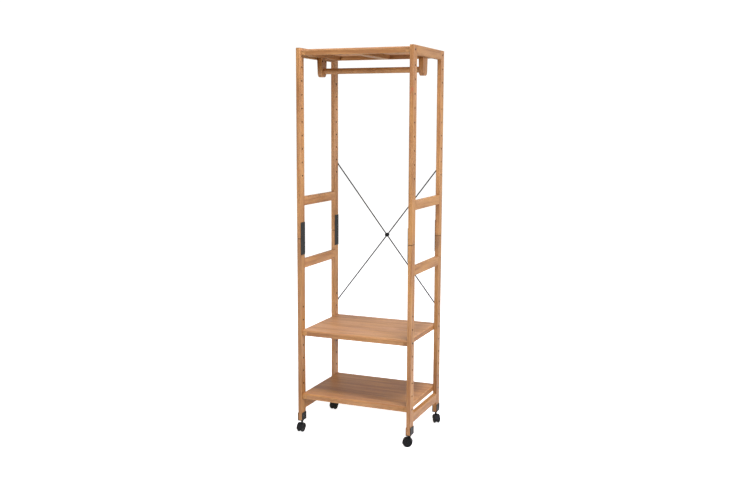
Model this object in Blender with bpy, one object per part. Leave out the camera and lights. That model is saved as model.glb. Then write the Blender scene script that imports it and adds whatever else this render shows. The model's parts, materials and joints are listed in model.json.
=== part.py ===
"""Rolling clothes rack: two slim wooden side frames, three shelves, a hanging rod and four casters.

Metres, +Z up. The rack stands on z = 0, its width runs along X and its front faces -Y.
Each object is one physical piece. Touching pieces keep the gap FIT.
"""
import math

import bmesh
import bpy
from mathutils import Matrix, Vector

# ---- clearances ------------------------------------------------------------------------------
FIT = 0.0003                  # gap between two pieces that touch
SPIN_CLEARANCE = 0.0005       # radial room around something that turns
SCREW_CLEARANCE = 0.0005      # radial room around a screw or a bolt

# ---- overall ---------------------------------------------------------------------------------
RACK_WIDTH = 0.590            # over the outer faces of the posts
RACK_DEPTH = 0.436            # over the front and back faces of the posts
RACK_HEIGHT = 1.8733          # floor to the tops of the posts
FOOT_HEIGHT = 0.061           # floor to the foot of a post

# ---- side frames -----------------------------------------------------------------------------
BAR_THICKNESS = 0.020         # posts and side rails, across the rack
POST_DEPTH = 0.045
RAIL_HEIGHT = 0.044
BAR_EDGE = 0.0015             # eased edge of a planed bar
JOINT_HEIGHT = 0.9685         # where the lower posts end and the upper posts start
UPPER_MID_RAIL = 0.1805       # from the post joint up to the middle of the rail
LOWER_MID_RAIL = 0.1250       # from the post joint down to the middle of the rail
BOTTOM_RAIL = 0.0756          # from the foot of a post up to the middle of the rail

# ---- rows of bolt holes, shared by the posts and the shelves -----------------------------------
HOLE_PITCH = 0.064
HOLE_RADIUS = 0.004
HOLE_SIDES = 12
FIRST_HOLE = 0.1226           # from the foot of a post up to the first hole
TOP_HOLE_DROP = 0.0897        # from the top of a post down to the highest hole of the row
LOWER_ROW_STOP = 0.150        # least distance from a hole up to the lower mid rail
UPPER_ROW_STOP = 0.070        # least distance from a hole down to the upper mid rail

# ---- plates that join the two lengths of a post ------------------------------------------------
PLATE_LENGTH = 0.158
PLATE_THICKNESS = 0.0015
PLATE_SCREW_RADIUS = 0.0025
PLATE_SCREW_STEPS = (0.018, 0.058)   # from the joint, up and down

# ---- shelves ---------------------------------------------------------------------------------
SHELF_HEIGHT = 0.028          # panel and frame together
PANEL_THICKNESS = 0.008
SHELF_SETBACK = 0.010         # shelf edge behind the front and back faces of the posts
TOP_SHELF_DROP = 0.0073       # top of the highest panel below the post tops
SHELF_RAIL = 0.018            # front and back rail under a panel
SIDE_BATTEN = 0.024
CENTRE_BATTEN = 0.045
SHELF_EDGE = 0.0010
BOTTOM_SHELF_HOLE = 0         # number of the hole that carries the shelf, from the lowest
MID_SHELF_HOLE = 5

# ---- hanging rod and its holders ---------------------------------------------------------------
ROD_RADIUS = 0.014
ROD_DROP = 0.0997             # post tops down to the middle of the rod
ROD_SIDES = 32
HOLDER_THICKNESS = 0.024
HOLDER_DEPTH = 0.064          # at the top, narrowing towards the foot
HOLDER_FOOT_DEPTH = 0.052
HOLDER_BELOW_ROD = 0.0283     # middle of the rod down to the foot of the holder
HOLDER_ROUNDING = 0.020
SOCKET_DEPTH = 0.012

# ---- cross brace at the back -------------------------------------------------------------------
BRACE_RADIUS = 0.003
BRACE_SIDES = 10
BRACE_ABOVE_JOINT = 0.3529
BRACE_BELOW_JOINT = 0.3817
TAB_RADIUS = 0.007
TAB_THICKNESS = 0.003
CLIP_RADIUS = 0.010
CLIP_WALL = 0.002

# ---- casters ---------------------------------------------------------------------------------
BRACKET_THICKNESS = 0.0025
BRACKET_RISE = 0.037          # height of its two flanges above the foot of the post
WHEEL_RADIUS = 0.022
WHEEL_WIDTH = 0.0095
WHEEL_SIDES = 28
WEB_THICKNESS = 0.011         # caster body between the wheels
HOOD_GAP = 0.0008
HOOD_THICKNESS = 0.0014
CASTER_TRAIL = 0.010          # swivel axis to wheel axle
AXLE_RADIUS = 0.003
STEM_RADIUS = 0.005
STEM_GRIP = 0.015             # length of the stem inside the post
COLLAR_RADIUS = 0.0085
COLLAR_HEIGHT = 0.0025
SOCKET_EXTRA = 0.002
# the way each caster trails, in degrees around Z from +X
CASTER_HEADINGS = {
    "left_front": 269.0,
    "left_back": 263.0,
    "right_front": 196.0,
    "right_back": 305.0,
}

# ---- worked out from the sizes above -----------------------------------------------------------
POST_X = (RACK_WIDTH - BAR_THICKNESS) / 2
POST_Y = (RACK_DEPTH - POST_DEPTH) / 2
INNER_X = RACK_WIDTH / 2 - BAR_THICKNESS
BACK_Y = RACK_DEPTH / 2
UPPER_MID_RAIL_Z = JOINT_HEIGHT + UPPER_MID_RAIL
LOWER_MID_RAIL_Z = JOINT_HEIGHT - LOWER_MID_RAIL
BOTTOM_RAIL_Z = FOOT_HEIGHT + BOTTOM_RAIL
TOP_RAIL_Z = RACK_HEIGHT - RAIL_HEIGHT / 2
LOWER_ROW = LOWER_MID_RAIL_Z - RAIL_HEIGHT / 2 - LOWER_ROW_STOP - FOOT_HEIGHT - FIRST_HOLE
UPPER_ROW = RACK_HEIGHT - TOP_HOLE_DROP - UPPER_MID_RAIL_Z - RAIL_HEIGHT / 2 - UPPER_ROW_STOP
LOWER_HOLES = 1 + math.floor(LOWER_ROW / HOLE_PITCH)
UPPER_HOLES = 1 + math.floor(UPPER_ROW / HOLE_PITCH)
LOWER_HOLE_HEIGHTS = [FOOT_HEIGHT + FIRST_HOLE + HOLE_PITCH * i for i in range(LOWER_HOLES)]
UPPER_HOLE_HEIGHTS = [RACK_HEIGHT - TOP_HOLE_DROP - HOLE_PITCH * i for i in range(UPPER_HOLES)]
SHELF_HEIGHTS = {
    "bottom_shelf": LOWER_HOLE_HEIGHTS[BOTTOM_SHELF_HOLE],
    "mid_shelf": LOWER_HOLE_HEIGHTS[MID_SHELF_HOLE],
    "top_shelf": RACK_HEIGHT - TOP_SHELF_DROP - SHELF_HEIGHT / 2,
}
ROD_Z = RACK_HEIGHT - ROD_DROP
NECK_RADIUS = WEB_THICKNESS / 2 - FIT
SIDES = {"left": -1, "right": 1}
ENDS = {"front": -1, "back": 1}


# ---- materials -------------------------------------------------------------------------------
def make_material(name, colour, roughness, metallic=0.0):
    material = bpy.data.materials.new(name)
    material.use_nodes = True
    shader = material.node_tree.nodes["Principled BSDF"]
    shader.inputs["Base Color"].default_value = (*colour, 1.0)
    shader.inputs["Roughness"].default_value = roughness
    shader.inputs["Metallic"].default_value = metallic
    material.diffuse_color = (*colour, 1.0)
    return material


# ---- mesh helpers ----------------------------------------------------------------------------
def add_object(name, bm, material=None, smooth=False):
    mesh = bpy.data.meshes.new(name)
    bmesh.ops.recalc_face_normals(bm, faces=bm.faces)
    bm.to_mesh(mesh)
    bm.free()
    item = bpy.data.objects.new(name, mesh)
    bpy.context.collection.objects.link(item)
    if material:
        mesh.materials.append(material)
    if smooth:
        mesh.shade_smooth()
        mesh.set_sharp_from_angle(angle=math.radians(35))
    return item


def add_box(bm, low, high):
    size = Vector(high) - Vector(low)
    middle = (Vector(high) + Vector(low)) / 2
    placed = Matrix.Translation(middle) @ Matrix.Diagonal((*size, 1.0))
    bmesh.ops.create_cube(bm, size=1.0, matrix=placed)


def add_cylinder(bm, start, end, radius, sides):
    start, end = Vector(start), Vector(end)
    along = end - start
    turn = along.to_track_quat("Z", "Y").to_matrix().to_4x4()
    placed = Matrix.Translation((start + end) / 2) @ turn
    bmesh.ops.create_cone(
        bm, cap_ends=True, segments=sides, radius1=radius, radius2=radius,
        depth=along.length, matrix=placed)


def add_prism(bm, outline, start, end):
    """Extrude an outline of 3-D points by the vector from start to end."""
    shift = Vector(end) - Vector(start)
    bottom = [bm.verts.new(point) for point in outline]
    top = [bm.verts.new(Vector(point) + shift) for point in outline]
    bm.faces.new(bottom)
    bm.faces.new(reversed(top))
    count = len(outline)
    for i in range(count):
        after = (i + 1) % count
        bm.faces.new((bottom[i], top[i], top[after], bottom[after]))


def add_tube(bm, points, radius, sides):
    """A round bar through the points, which all lie near one plane."""
    rings = []
    for i, point in enumerate(points):
        before = points[max(i - 1, 0)]
        after = points[min(i + 1, len(points) - 1)]
        along = (after - before).normalized()
        across = along.cross(Vector((0, 1, 0))).normalized()
        upward = across.cross(along)
        ring = []
        for k in range(sides):
            angle = 2 * math.pi * k / sides
            offset = across * math.cos(angle) + upward * math.sin(angle)
            ring.append(bm.verts.new(point + offset * radius))
        rings.append(ring)
    for low, high in zip(rings, rings[1:]):
        for k in range(sides):
            nxt = (k + 1) % sides
            bm.faces.new((low[k], low[nxt], high[nxt], high[k]))
    bm.faces.new(reversed(rings[0]))
    bm.faces.new(rings[-1])


def add_wheel_shape(bm, profile, sides):
    """Turn (radius, y) points around the Y axis into a closed ring."""
    rings = []
    for radius, y in profile:
        ring = []
        for k in range(sides):
            angle = 2 * math.pi * k / sides
            ring.append(bm.verts.new((radius * math.cos(angle), y, radius * math.sin(angle))))
        rings.append(ring)
    count = len(rings)
    for i in range(count):
        low, high = rings[i], rings[(i + 1) % count]
        for k in range(sides):
            nxt = (k + 1) % sides
            bm.faces.new((low[k], low[nxt], high[nxt], high[k]))


def arc_points(centre, radius, first, last, steps):
    """Points of an arc in the XZ plane, with the angles in degrees."""
    points = []
    for i in range(steps + 1):
        angle = math.radians(first + (last - first) * i / steps)
        points.append(centre + Vector((math.cos(angle), 0, math.sin(angle))) * radius)
    return points


def ease_edges(item, width):
    bevel = item.modifiers.new("eased_edges", "BEVEL")
    bevel.width = width
    bevel.segments = 1
    bevel.limit_method = "ANGLE"
    bevel.angle_limit = math.radians(60)


def combine(item, bm, operation, name):
    """Cut a tool shape from an object, or join it on, and hide the tool."""
    tool = add_object(item.name + "_" + name, bm)
    tool.hide_render = True
    tool.display_type = "WIRE"
    boolean = item.modifiers.new(name, "BOOLEAN")
    boolean.operation = operation
    boolean.solver = "EXACT"
    boolean.object = tool
    tool.parent = item
    return tool


def make_bar(name, low, high, material, edge=BAR_EDGE):
    bm = bmesh.new()
    add_box(bm, low, high)
    bar = add_object(name, bm, material)
    ease_edges(bar, edge)
    return bar


# ---- side frames -----------------------------------------------------------------------------
def make_post(side, end, part, material):
    """One length of a post, with its row of bolt holes and, at the foot, the stem socket."""
    x = SIDES[side] * POST_X
    y = ENDS[end] * POST_Y
    if part == "lower":
        bottom, top = FOOT_HEIGHT, JOINT_HEIGHT - FIT / 2
        heights = LOWER_HOLE_HEIGHTS
    else:
        bottom, top = JOINT_HEIGHT + FIT / 2, RACK_HEIGHT
        heights = UPPER_HOLE_HEIGHTS + [SHELF_HEIGHTS["top_shelf"]]
    half_x, half_y = BAR_THICKNESS / 2, POST_DEPTH / 2
    post = make_bar(
        f"{side}_{end}_{part}_post",
        (x - half_x, y - half_y, bottom), (x + half_x, y + half_y, top), material)
    bm = bmesh.new()
    reach = BAR_THICKNESS
    for z in heights:
        add_cylinder(bm, (x - reach, y, z), (x + reach, y, z), HOLE_RADIUS, HOLE_SIDES)
    if part == "lower":
        room = STEM_RADIUS + SPIN_CLEARANCE
        depth = STEM_GRIP + SOCKET_EXTRA
        add_cylinder(bm, (x, y, bottom - depth), (x, y, bottom + depth), room, 24)
    combine(post, bm, "DIFFERENCE", "holes")


def make_side_rail(side, name, z, material):
    x = SIDES[side] * POST_X
    half_x = BAR_THICKNESS / 2
    reach = BACK_Y - POST_DEPTH - FIT
    make_bar(
        f"{side}_{name}",
        (x - half_x, -reach, z - RAIL_HEIGHT / 2),
        (x + half_x, reach, z + RAIL_HEIGHT / 2), material)


def make_joint_plate(side, end, material):
    """Steel plate on the inner face of a post, across the joint of its two lengths."""
    inner = SIDES[side] * (INNER_X - FIT)
    outer = SIDES[side] * (INNER_X - FIT - PLATE_THICKNESS)
    y = ENDS[end] * POST_Y
    half_y = POST_DEPTH / 2
    low = (min(inner, outer), y - half_y, JOINT_HEIGHT - PLATE_LENGTH / 2)
    high = (max(inner, outer), y + half_y, JOINT_HEIGHT + PLATE_LENGTH / 2)
    plate = make_bar(f"{side}_{end}_joint_plate", low, high, material, PLATE_THICKNESS / 4)
    bm = bmesh.new()
    for step in PLATE_SCREW_STEPS:
        for way in (-1, 1):
            z = JOINT_HEIGHT + way * step
            centre = Vector(((inner + outer) / 2, y, z))
            reach = Vector((PLATE_THICKNESS, 0, 0))
            add_cylinder(bm, centre - reach, centre + reach,
                         PLATE_SCREW_RADIUS + SCREW_CLEARANCE, HOLE_SIDES)
    combine(plate, bm, "DIFFERENCE", "screw_holes")


# ---- shelves ---------------------------------------------------------------------------------
def make_shelf(name, z, wood, panel_wood):
    """A thin panel on a frame of two long rails, two side battens and a centre batten."""
    half_width = INNER_X - FIT
    half_depth = BACK_Y - SHELF_SETBACK
    top = z + SHELF_HEIGHT / 2
    under_panel = top - PANEL_THICKNESS
    frame_top = under_panel - FIT
    frame_low = z - SHELF_HEIGHT / 2
    make_bar(
        f"{name}_panel", (-half_width, -half_depth, under_panel),
        (half_width, half_depth, top), panel_wood, SHELF_EDGE)
    for side, way in SIDES.items():
        edges = sorted((way * half_width, way * (half_width - SIDE_BATTEN)))
        make_bar(
            f"{name}_{side}_batten", (edges[0], -half_depth, frame_low),
            (edges[1], half_depth, frame_top), wood, SHELF_EDGE)
    rail_reach = half_width - SIDE_BATTEN - FIT
    for end, way in ENDS.items():
        edges = sorted((way * half_depth, way * (half_depth - SHELF_RAIL)))
        make_bar(
            f"{name}_{end}_rail", (-rail_reach, edges[0], frame_low),
            (rail_reach, edges[1], frame_top), wood, SHELF_EDGE)
    batten_reach = half_depth - SHELF_RAIL - FIT
    make_bar(
        f"{name}_centre_batten", (-CENTRE_BATTEN / 2, -batten_reach, frame_low),
        (CENTRE_BATTEN / 2, batten_reach, frame_top), wood, SHELF_EDGE)


# ---- hanging rod -----------------------------------------------------------------------------
def make_rod_holder(side, material):
    """A block on the inner face of the top rail, with a blind socket for the rod."""
    way = SIDES[side]
    outer = way * (INNER_X - FIT)
    inner = way * (INNER_X - FIT - HOLDER_THICKNESS)
    top = SHELF_HEIGHTS["top_shelf"] - SHELF_HEIGHT / 2 - FIT
    low = ROD_Z - HOLDER_BELOW_ROD
    half = HOLDER_DEPTH / 2
    foot_half = HOLDER_FOOT_DEPTH / 2
    centre_z = low + HOLDER_ROUNDING
    taper = math.degrees(math.atan((half - foot_half) / (top - centre_z)))
    outline = [Vector((outer, half, top)), Vector((outer, -half, top))]
    for way_y, first, last in ((-1, 180 + taper, 270), (1, 270, 360 - taper)):
        for i in range(7):
            angle = math.radians(first + (last - first) * i / 6)
            y = way_y * (foot_half - HOLDER_ROUNDING) + HOLDER_ROUNDING * math.cos(angle)
            z = centre_z + HOLDER_ROUNDING * math.sin(angle)
            outline.append(Vector((outer, y, z)))
    bm = bmesh.new()
    add_prism(bm, outline, (outer, 0, 0), (inner, 0, 0))
    holder = add_object(f"{side}_rod_holder", bm, material)
    ease_edges(holder, SHELF_EDGE)
    bm = bmesh.new()
    bottom_of_socket = inner + way * SOCKET_DEPTH
    mouth = inner - way * SOCKET_DEPTH
    add_cylinder(bm, (bottom_of_socket, 0, ROD_Z), (mouth, 0, ROD_Z), ROD_RADIUS + FIT, ROD_SIDES)
    combine(holder, bm, "DIFFERENCE", "socket")


def make_hanging_rod(material):
    reach = INNER_X - FIT - HOLDER_THICKNESS + SOCKET_DEPTH - FIT
    bm = bmesh.new()
    add_cylinder(bm, (-reach, 0, ROD_Z), (reach, 0, ROD_Z), ROD_RADIUS, ROD_SIDES)
    rod = add_object("hanging_rod", bm, material, smooth=True)
    ease_edges(rod, SHELF_EDGE)


# ---- cross brace -----------------------------------------------------------------------------
def brace_lines():
    """Ends of the two brace rods, and how far each bows at the crossing, + for backwards."""
    y = BACK_Y + FIT + BRACE_RADIUS
    high = JOINT_HEIGHT + BRACE_ABOVE_JOINT
    low = JOINT_HEIGHT - BRACE_BELOW_JOINT
    bow = BRACE_RADIUS + FIT
    return {
        "brace_rod_falling": (Vector((-POST_X, y, high)), Vector((POST_X, y, low)), -bow),
        "brace_rod_rising": (Vector((-POST_X, y, low)), Vector((POST_X, y, high)), bow),
    }


def make_brace_rod(name, start, end, bow, material):
    """A thin rod, sprung past the other one in the middle, with a flat tab at each end."""
    steps = 12
    points = []
    for i in range(steps + 1):
        share = i / steps
        shift = bow * math.sin(math.pi * share) ** 2
        points.append(start.lerp(end, share) + Vector((0, shift, 0)))
    bm = bmesh.new()
    add_tube(bm, points, BRACE_RADIUS, BRACE_SIDES)
    rod = add_object(name, bm, material, smooth=True)
    for index, point in enumerate((start, end)):
        front = point.y - BRACE_RADIUS
        bm = bmesh.new()
        add_cylinder(
            bm, (point.x, front, point.z), (point.x, front + TAB_THICKNESS, point.z),
            TAB_RADIUS, 16)
        combine(rod, bm, "UNION", f"tab_{index}")


def make_brace_clip(material):
    """The small disc that holds the two rods where they cross."""
    lines = brace_lines()
    start, end, bow = lines["brace_rod_falling"]
    middle = start.lerp(end, 0.5)
    half_y = abs(bow) + BRACE_RADIUS + CLIP_WALL
    bm = bmesh.new()
    add_cylinder(bm, middle - Vector((0, half_y, 0)), middle + Vector((0, half_y, 0)), CLIP_RADIUS, 24)
    clip = add_object("brace_clip", bm, material, smooth=True)
    bm = bmesh.new()
    for start, end, bow in lines.values():
        along = (end - start).normalized() * CLIP_RADIUS * 2
        centre = middle + Vector((0, bow, 0))
        add_cylinder(bm, centre - along, centre + along, BRACE_RADIUS + FIT, BRACE_SIDES * 2)
    combine(clip, bm, "DIFFERENCE", "rod_channels")


# ---- casters ---------------------------------------------------------------------------------
def make_caster_bracket(corner, x, y, material):
    """A steel channel under the foot of a post, with a flange up each broad face."""
    inside = BAR_THICKNESS / 2 + FIT
    outside = inside + BRACKET_THICKNESS
    floor_top = FOOT_HEIGHT - FIT
    floor_low = floor_top - BRACKET_THICKNESS
    rim = FOOT_HEIGHT + BRACKET_RISE
    section = [
        (-outside, floor_low), (outside, floor_low), (outside, rim), (inside, rim),
        (inside, floor_top), (-inside, floor_top), (-inside, rim), (-outside, rim)]
    front = y - POST_DEPTH / 2
    outline = [Vector((x + across, front, z)) for across, z in section]
    bm = bmesh.new()
    add_prism(bm, outline, (0, front, 0), (0, front + POST_DEPTH, 0))
    bracket = add_object(f"{corner}_caster_bracket", bm, material)
    bm = bmesh.new()
    room = STEM_RADIUS + SPIN_CLEARANCE
    add_cylinder(bm, (x, y, floor_low - FIT * 10), (x, y, floor_top + FIT * 10), room, 24)
    combine(bracket, bm, "DIFFERENCE", "stem_hole")


def make_caster_body(corner, pivot, material):
    """Web between the wheels, hood over them, neck, collar, stem and axle, as one piece."""
    axle = Vector((CASTER_TRAIL, 0, WHEEL_RADIUS))
    inner_radius = WHEEL_RADIUS + HOOD_GAP
    outer_radius = inner_radius + HOOD_THICKNESS
    half_web = WEB_THICKNESS / 2
    half_width = half_web + FIT + WHEEL_WIDTH
    mid_radius = (inner_radius + outer_radius) / 2
    neck_top = FOOT_HEIGHT - BRACKET_THICKNESS - 3 * FIT - COLLAR_HEIGHT
    side_shift = Vector((0, 1, 0))

    bm = bmesh.new()
    web = [point - side_shift * half_web for point in arc_points(axle, mid_radius, -30, 210, 24)]
    add_prism(bm, web, (0, -half_web, 0), (0, half_web, 0))
    body = add_object(f"{corner}_caster_body", bm, material, smooth=True)
    body.parent = pivot

    bm = bmesh.new()
    hood = arc_points(axle, outer_radius, -10, 185, 20)
    hood += reversed(arc_points(axle, inner_radius, -10, 185, 20))
    hood = [point - side_shift * half_width for point in hood]
    add_prism(bm, hood, (0, -half_width, 0), (0, half_width, 0))
    combine(body, bm, "UNION", "hood")

    bm = bmesh.new()
    add_cylinder(bm, (0, 0, WHEEL_RADIUS * 1.5), (0, 0, neck_top), NECK_RADIUS, 20)
    combine(body, bm, "UNION", "neck")
    bm = bmesh.new()
    add_cylinder(bm, (0, 0, neck_top - FIT), (0, 0, neck_top + COLLAR_HEIGHT), COLLAR_RADIUS, 20)
    combine(body, bm, "UNION", "collar")
    bm = bmesh.new()
    add_cylinder(bm, (0, 0, neck_top), (0, 0, FOOT_HEIGHT + STEM_GRIP), STEM_RADIUS, 24)
    combine(body, bm, "UNION", "stem")
    bm = bmesh.new()
    axle_reach = Vector((0, half_width - FIT, 0))
    add_cylinder(bm, axle - axle_reach, axle + axle_reach, AXLE_RADIUS, 16)
    combine(body, bm, "UNION", "axle")


def make_wheel(corner, name, way, pivot, material):
    """One of the two wheels, turned around Y, with a bore for the axle and a dished face."""
    inner = WEB_THICKNESS / 2 + FIT
    outer = inner + WHEEL_WIDTH
    bore = AXLE_RADIUS + FIT
    shoulder = 0.0015
    profile = [
        (bore, inner), (WHEEL_RADIUS - shoulder, inner), (WHEEL_RADIUS, inner + shoulder),
        (WHEEL_RADIUS, outer - shoulder), (WHEEL_RADIUS - shoulder, outer),
        (WHEEL_RADIUS * 0.72, outer), (WHEEL_RADIUS * 0.66, outer - shoulder), (bore, outer - shoulder)]
    bm = bmesh.new()
    add_wheel_shape(bm, [(radius, way * y) for radius, y in profile], WHEEL_SIDES)
    wheel = add_object(f"{corner}_{name}", bm, material, smooth=True)
    wheel.parent = pivot
    wheel.location = (CASTER_TRAIL, 0, WHEEL_RADIUS)


def make_caster(side, end, steel, plastic, tyre):
    corner = f"{side}_{end}"
    x = SIDES[side] * POST_X
    y = ENDS[end] * POST_Y
    make_caster_bracket(corner, x, y, steel)
    pivot = bpy.data.objects.new(f"{corner}_caster_pivot", None)
    bpy.context.collection.objects.link(pivot)
    pivot.location = (x, y, 0)
    pivot.rotation_euler = (0, 0, math.radians(CASTER_HEADINGS[corner]))
    make_caster_body(corner, pivot, plastic)
    make_wheel(corner, "wheel_a", 1, pivot, tyre)
    make_wheel(corner, "wheel_b", -1, pivot, tyre)


# ---- the whole rack --------------------------------------------------------------------------
def main():
    for item in list(bpy.data.objects):
        bpy.data.objects.remove(item, do_unlink=True)
    frame_wood = make_material("frame_wood", (0.480, 0.245, 0.110), 0.55)
    shelf_wood = make_material("shelf_wood", (0.560, 0.300, 0.160), 0.55)
    rod_wood = make_material("rod_wood", (0.500, 0.260, 0.120), 0.50)
    black_steel = make_material("black_steel", (0.015, 0.015, 0.016), 0.45, 0.6)
    black_plastic = make_material("black_plastic", (0.012, 0.012, 0.012), 0.50)
    black_tyre = make_material("black_tyre", (0.018, 0.018, 0.018), 0.70)

    for side in SIDES:
        for end in ENDS:
            make_post(side, end, "lower", frame_wood)
            make_post(side, end, "upper", frame_wood)
            make_joint_plate(side, end, black_steel)
            make_caster(side, end, black_steel, black_plastic, black_tyre)
        make_side_rail(side, "top_rail", TOP_RAIL_Z, frame_wood)
        make_side_rail(side, "upper_mid_rail", UPPER_MID_RAIL_Z, frame_wood)
        make_side_rail(side, "lower_mid_rail", LOWER_MID_RAIL_Z, frame_wood)
        make_side_rail(side, "bottom_rail", BOTTOM_RAIL_Z, frame_wood)
        make_rod_holder(side, frame_wood)
    for name, z in SHELF_HEIGHTS.items():
        make_shelf(name, z, frame_wood, shelf_wood)
    make_hanging_rod(rod_wood)
    for name, (start, end, bow) in brace_lines().items():
        make_brace_rod(name, start, end, bow, black_steel)
    make_brace_clip(black_plastic)


main()
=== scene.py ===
"""Looks of the rolling clothes rack: oiled wood, black steel and moulded casters.

Every piece takes its place and size from the CAD frame. Metres, +Z up, the front faces -Y.
"""
import json
import math

import bmesh
import bpy
from mathutils import Matrix, Vector


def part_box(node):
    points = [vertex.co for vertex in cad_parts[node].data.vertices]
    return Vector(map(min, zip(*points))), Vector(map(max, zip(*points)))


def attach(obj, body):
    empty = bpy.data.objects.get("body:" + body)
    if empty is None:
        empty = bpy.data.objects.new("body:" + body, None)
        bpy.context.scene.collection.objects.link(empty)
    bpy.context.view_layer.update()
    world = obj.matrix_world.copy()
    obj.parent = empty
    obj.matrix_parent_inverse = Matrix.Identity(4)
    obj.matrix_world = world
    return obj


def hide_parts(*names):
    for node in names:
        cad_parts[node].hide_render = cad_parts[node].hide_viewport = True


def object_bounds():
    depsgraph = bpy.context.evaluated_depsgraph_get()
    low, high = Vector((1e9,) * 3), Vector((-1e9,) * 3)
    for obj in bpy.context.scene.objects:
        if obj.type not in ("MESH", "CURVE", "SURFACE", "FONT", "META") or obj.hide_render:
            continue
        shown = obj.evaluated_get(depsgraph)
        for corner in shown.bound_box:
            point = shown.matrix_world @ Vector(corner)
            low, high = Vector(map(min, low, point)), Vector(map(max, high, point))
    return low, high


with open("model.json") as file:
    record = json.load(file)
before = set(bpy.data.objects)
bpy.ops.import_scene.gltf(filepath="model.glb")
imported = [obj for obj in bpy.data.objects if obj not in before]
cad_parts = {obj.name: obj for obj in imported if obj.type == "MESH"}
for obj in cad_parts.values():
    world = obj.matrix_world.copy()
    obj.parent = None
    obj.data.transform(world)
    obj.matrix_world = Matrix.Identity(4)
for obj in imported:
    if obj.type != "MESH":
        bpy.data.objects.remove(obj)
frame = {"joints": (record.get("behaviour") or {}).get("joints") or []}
cad_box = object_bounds()

SIDES = {"left": -1, "right": 1}
ENDS = {"front": -1, "back": 1}
SHELVES = ("bottom_shelf", "mid_shelf", "top_shelf")

# ---- joinery -----------------------------------------------------------------
BAR_ROUNDING = 0.0018         # planed and sanded long edges
SHELF_ROUNDING = 0.0012
END_EASE = 0.0008
JOINT_EASE = 0.0012           # ends of the posts, which meet in a shallow V
CORNER_STEPS = 4
HOLE_PITCH = 0.064
FIRST_HOLE = 0.1226           # foot of a lower post up to its first hole
LOWER_HOLES = 8
TOP_HOLE_DROP = 0.0897        # top of an upper post down to its highest row hole
UPPER_HOLES = 9
HOLE_RADIUS = 0.0040
HOLE_RIM = 0.0007             # countersunk rim of a bolt hole
HOLE_SIDES = 24
PANEL_STRIP = 0.069           # width of one strip of a glued panel
HOLDER_FOOT_HALF = 0.026      # half the depth of a rod holder at its round foot
HOLDER_ROUNDING = 0.020
ROD_PLAY = 0.0004             # round a rod in its socket

# ---- fasteners ---------------------------------------------------------------
BOLT_HEAD_RADIUS = 0.0050
BOLT_HEAD_HEIGHT = 0.0022
SCREW_HEAD_RADIUS = 0.0038
SCREW_HEAD_HEIGHT = 0.0014
SHANK_RADIUS = 0.0022
CROSS_SLOT = 0.0009           # width of a slot of a cross recess
SOCKET_RADIUS = 0.0024        # hexagon socket, over its corners
TURN_BETWEEN_HEADS = 2.399    # radians by which one head is turned from the last
SHANK_LENGTH = 0.012
SEATING = 0.0001              # how far a bolt or plate screw beds into its face
PLATE_SCREW_STEPS = (0.018, 0.058)
BRACKET_SCREW_STEP = 0.25     # of the bracket's depth, to each side of its middle
BRACKET_SCREW_RISE = 0.62     # of the bracket's height
HOLDER_SCREW_DROP = 0.0162    # top of a rod holder down to its screws
HOLDER_SCREW_SPREAD = 0.0170
COUNTERBORE_RADIUS = 0.0048
COUNTERBORE_DEPTH = 0.0070
FLAT_HEAD_RADIUS = 0.0040
FLAT_HEAD_HEIGHT = 0.0013

# ---- steel -------------------------------------------------------------------
SHEET = 0.0025                # caster brackets
SHEET_BEND = 0.0032
BRACE_RADIUS = 0.003
BRACE_TAB = 0.007             # radius of a brace's flattened, pierced end
BRACE_TAB_THICKNESS = 0.003
BRACE_FLATTENED = 0.018       # length over which a brace goes flat
WOOD_GAP = 0.0003             # between a brace and the post it is screwed to

# ---- casters -----------------------------------------------------------------
HOOD_SHELL = 0.0014
HOOD_LIP = 0.0035             # how far the hood curls down over the wheels' outer faces
HUB_RADIUS = 0.0075
WEB_HALF = 0.0055             # half the thickness of the web between the wheels
HOOD_HALF = 0.0153            # half the width of the hood
WHEEL_NEAR = 0.0060           # from the middle of the web to a wheel
WHEEL_WIDTH = 0.0080
NECK_RADIUS = 0.0052
HOOD_SHOULDER = 0.0030
HOOD_ARC = (-12, 199)         # first angle and sweep of the hood round the axle, in degrees
WEB_ARC = (-32, 244)


# ---- mesh tools --------------------------------------------------------------
def new_piece(name, bm, material, smooth=True):
    mesh = bpy.data.meshes.new(name)
    bmesh.ops.recalc_face_normals(bm, faces=bm.faces)
    bm.to_mesh(mesh)
    bm.free()
    mesh.materials.append(material)
    piece = bpy.data.objects.new(name, mesh)
    bpy.context.collection.objects.link(piece)
    if smooth:
        mesh.shade_smooth()
    return piece


def keep_flats_flat(piece):
    """Weight normals by area, so rounded edges shade softly between flat faces, and apply."""
    weighted = piece.modifiers.new("flat_faces", "WEIGHTED_NORMAL")
    weighted.weight = 80
    weighted.keep_sharp = True
    return apply_modifiers(piece)


def apply_modifiers(piece):
    graph = bpy.context.evaluated_depsgraph_get()
    finished = bpy.data.meshes.new_from_object(piece.evaluated_get(graph), depsgraph=graph)
    old = piece.data
    piece.modifiers.clear()
    piece.data = finished
    finished.name = piece.name
    bpy.data.meshes.remove(old)
    return piece


def cut_away(piece, bm, walls=None):
    """Cut a shape out of a piece for good. The cut faces may take a material of their own."""
    tool = new_piece(piece.name + "_tool", bm, walls or piece.data.materials[0])
    boolean = piece.modifiers.new("cut", "BOOLEAN")
    boolean.operation = "DIFFERENCE"
    boolean.solver = "EXACT"
    boolean.material_mode = "TRANSFER"
    boolean.object = tool
    apply_modifiers(piece)
    bpy.data.objects.remove(tool, do_unlink=True)
    return piece


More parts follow.
